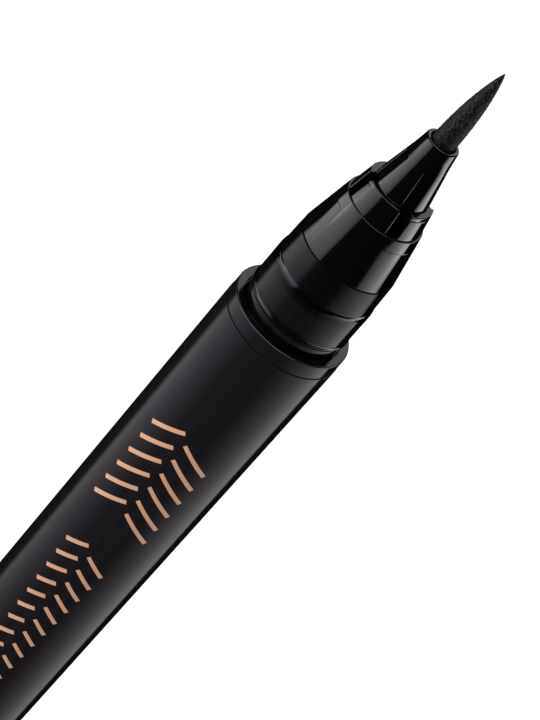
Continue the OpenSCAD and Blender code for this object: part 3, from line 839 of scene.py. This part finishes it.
outer_line = rounded([
    (holder_tail_r, slot_low, 0), (holder_tail_r, cone_high, 0), (collar_rear_r, cone_high + 0.001, 0.03),
    (collar_front_r + collar_line_r, collar_high - collar_line_h, 0),
    (collar_front_r + collar_line_r - 0.017, collar_high - collar_line_h + 0.02, 0),
    (collar_front_r, collar_high, 0.07), (holder_cone_r, collar_high, 0.02),
    (mouth_land_r, collar_high + holder_cone_len, mouth_blend), (rim_r, holder_high - rim_slope_h, 0.05),
    (rim_r - rim_slope_r, holder_high, 0.1),
    (mouth_r, holder_high, 0.1), (mouth_r, holder_high - mouth_depth, 0)])
holder_corners = slotted_ring(tip_bore_r, holder_low, slot_w / 2, no_slot)
holder_corners += slotted_ring(holder_tail_r, holder_low, slot_w / 2, no_slot)
holder_corners += slotted_ring(holder_tail_r, slot_low, slot_w / 2, no_slot)
for radius, height in with_rows(outer_line, row_step)[:-1]:
    if height < holder_high - mouth_depth / 2 and radius < mouth_r + 0.001:
        break
    half_width, floor_r = slot_w / 2, slot_floor_r
    if radius < holder_cone_r and height < collar_high + groove_len:
        floor_r = radius - groove_depth
    if radius > holder_cone_r + slot_corner:
        share = min(max(1 - (collar_high - height) / slot_corner, 0), 1)
        half_width += slot_corner * (1 - math.sqrt(1 - share ** 2))
    holder_corners += slotted_ring(radius, height, half_width, floor_r)
holder_corners += slotted_ring(mouth_r, holder_high - mouth_depth, slot_w / 2, no_slot)
holder_corners += slotted_ring(tip_bore_r, holder_high - mouth_depth, slot_w / 2, no_slot)
ring_size = len(slotted_ring(1, 0, slot_w / 2, no_slot))
holder_rings = [list(range(i, i + ring_size)) for i in range(0, len(holder_corners), ring_size)]
holder = new_object("tip_holder_moulding", holder_corners, ring_faces(holder_rings), gloss_black)
finish_mesh(holder, holder_sharp_angle)
fit(holder, "pen", "nib_holder")

# The brush tip
# A bundle of dark fibres ground to a point and wet with ink. The holder grips its shank. Its
# surface is felted and rough, and its point leans a little to one side.
tip_belly = 1.9
tip_point = 0.78
tip_rows = 200
tip_sides = 160
tip_end_gap = 0.012
tip_lean = 0.13
felt_depth = 0.022
felt_size = 0.13
felt_stretch = 1.3
speck_scale = 8800
felt_shades = ((0.41, 0.0008), (0.5, 0.0045), (0.61, 0.036))
ink_tint = (1, 0.87, 0.98, 1)
shank_edge = 0.2

tip_low, tip_high = low_high("brush_tip")
tip_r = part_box("brush_tip")[1].x / MM
tip_out = tip_high - holder_high


def tip_half(share):
    """Half width of the tip at a share of the length that stands out of the holder."""
    return tip_r * (1 - share ** tip_belly) ** tip_point


tip_fibre = new_finish("tip_fibre")
tip_place = tip_fibre.add("ShaderNodeMapping", {}, {
    "Vector": tip_fibre.add("ShaderNodeTexCoord", {}, {}, "Object"), "Scale": (1, 1, 1 / felt_stretch)})
tip_specks = tip_fibre.add("ShaderNodeTexNoise", {}, {
    "Vector": tip_place, "Scale": speck_scale, "Detail": 3})
tip_patches = tip_fibre.add("ShaderNodeTexNoise", {}, {
    "Vector": tip_place, "Scale": speck_scale / 4, "Detail": 2})
tip_levels = tip_fibre.add("ShaderNodeValToRGB", {"stops": felt_shades},
                           {0: tip_specks * 0.8 + tip_patches * 0.2})
tip_tint = tip_fibre.add("ShaderNodeMix", {"data_type": "RGBA", "blend_type": "MULTIPLY"},
                         {0: 1, 6: tip_levels, 7: ink_tint}, 2)
tip_bump = tip_fibre.add("ShaderNodeBump", {}, {"Height": tip_specks, "Strength": 0.6, "Distance": MM / 50})
tip_fibre.add("ShaderNodeOutputMaterial", {}, {"Surface": tip_fibre.add("ShaderNodeBsdfPrincipled", {}, {
    "Base Color": tip_tint, "Roughness": 0.5 + tip_specks * 0.2, "Specular IOR Level": 0.25,
    "Normal": tip_bump})})

tip_line = [(0, tip_low), (tip_r - shank_edge, tip_low), (tip_r, tip_low + shank_edge)]
for i in range(tip_rows + 1):
    share = i / tip_rows * (1 - tip_end_gap / tip_out)
    tip_line.append((tip_half(share), holder_high + tip_out * share))
tip_line.append((0, tip_high))
brush_tip = turned("brush_tip_fibre", tip_line, tip_fibre, tip_sides)
for corner in brush_tip.data.vertices:
    share = (corner.co.z / MM - holder_high) / tip_out
    if 0 < share < 1:
        spot = Vector((corner.co.x, corner.co.y, corner.co.z / felt_stretch)) / (felt_size * MM)
        lift = noise.noise(spot) + 0.5 * noise.noise(spot * 2.1)
        lift *= felt_depth * MM * min(1, 3 * (1 - share))
        corner.co += Vector((corner.co.x, corner.co.y, 0)).normalized() * lift
    corner.co.x += tip_lean * MM * max(share, 0)
brush_tip.data.shade_smooth()
fit(brush_tip, "pen", "brush_tip")

# The cap
# One satin black moulding, posted on the tail. A bead in its bore holds the inner cap in, and a
# peg on its floor centres the spring.
cap_edge = 0.5
cap_wall = 0.72
cap_floor = 1.6
bead_h = 0.5
bead_rise = 0.27
rest_gap = 0.1
peg_r = 2.65
peg_h = 0.8

inner_high = low_high("inner_cap")[1]
cap_bore_r = body_r - cap_wall
bead_low = inner_high + rest_gap
cap_shell = turned("cap_moulding", [(0, 0), *rounded([
    (0, 0, 0), (body_r, 0, cap_edge), (body_r, cap_high, 0.08), (cap_bore_r, cap_high, 0.08),
    (cap_bore_r, bead_low + bead_h, 0.05), (cap_bore_r - bead_rise, bead_low + bead_h / 2, 0.05),
    (cap_bore_r - bead_rise, bead_low, 0.05), (cap_bore_r, bead_low, 0.02), (cap_bore_r, cap_floor, 0.2),
    (peg_r, cap_floor, 0.05), (peg_r, cap_floor + peg_h, 0.15), (0, cap_floor + peg_h, 0)])[1:]], satin_black)
fit(cap_shell, "cap", "cap_shell")

# The spring
# A coil of drawn steel wire between the cap's floor and the inner cap.
spring_d = 6.2
wire_d = 0.45
spring_len = 7.6
spring_curls = 6
wire_sides = 14
rings_per_curl = 40
wire_sharp_angle = 40

spring_steel = plain("spring_steel", dark=(0.50, 0.51, 0.53), pale=(0.60, 0.61, 0.63), roughness=0.28,
                     scale=4000, metallic=1, depth=0.15)
spring_low = cap_floor + press_fit + wire_d / 2
spring_rise = spring_len - wire_d - 2 * press_fit
spring_rings = spring_curls * rings_per_curl
slope = spring_rise / (spring_curls * math.pi * spring_d)
wire_corners = []
for i in range(spring_rings + 1):
    turn = 2 * math.pi * i / rings_per_curl
    outward = Vector((math.cos(turn), math.sin(turn), 0))
    upward = Vector((math.sin(turn) * slope, -math.cos(turn) * slope, 1)).normalized()
    centre = outward * (spring_d / 2) + Vector((0, 0, spring_low + spring_rise * i / spring_rings))
    for k in range(wire_sides):
        around = 2 * math.pi * k / wire_sides
        wire_corners.append(centre + (outward * math.cos(around) + upward * math.sin(around)) * (wire_d / 2))
wire_rings = [list(range(i * wire_sides, (i + 1) * wire_sides)) for i in range(spring_rings + 1)]
wire_faces = ring_faces(wire_rings)[:-wire_sides] + [wire_rings[0], wire_rings[-1]]
spring = finish_mesh(new_object("cap_spring_wire", wire_corners, wire_faces, spring_steel), wire_sharp_angle)
fit(spring, "cap", "cap_spring")
press_travel = next(j["range_m"][1] for j in frame["joints"] if j["name"] == "inner_cap_press")
1 - press_travel / (spring_len * MM)
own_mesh(spring)

# The inner cap
# A black cup that seals round the tip holder when the pen is closed. A guide ring round its mouth
# runs in the cap's bore.
inner_r = 4.08
guide_r = 4.45
guide_h = 2.4
inner_wall = 0.7
lip_r = 3.80
lip_h = 1.6

inner_low = cap_floor + spring_len
inner_cap = turned("inner_cap_moulding", [(0, inner_low - peg_h), *rounded([
    (0, inner_low - peg_h, 0), (peg_r, inner_low - peg_h, 0.15), (peg_r, inner_low, 0.05),
    (inner_r, inner_low, 0.3), (inner_r, inner_high - guide_h, 0.1),
    (guide_r, inner_high - guide_h + bead_rise, 0.1),
    (guide_r, inner_high, 0.08), (lip_r, inner_high, 0.08), (inner_r - inner_wall, inner_high - lip_h, 0.2),
    (inner_r - inner_wall, inner_low + inner_wall, 0.4), (0, inner_low + inner_wall, 0)])[1:]], gloss_black)
fit(inner_cap, "inner_cap", "inner_cap")
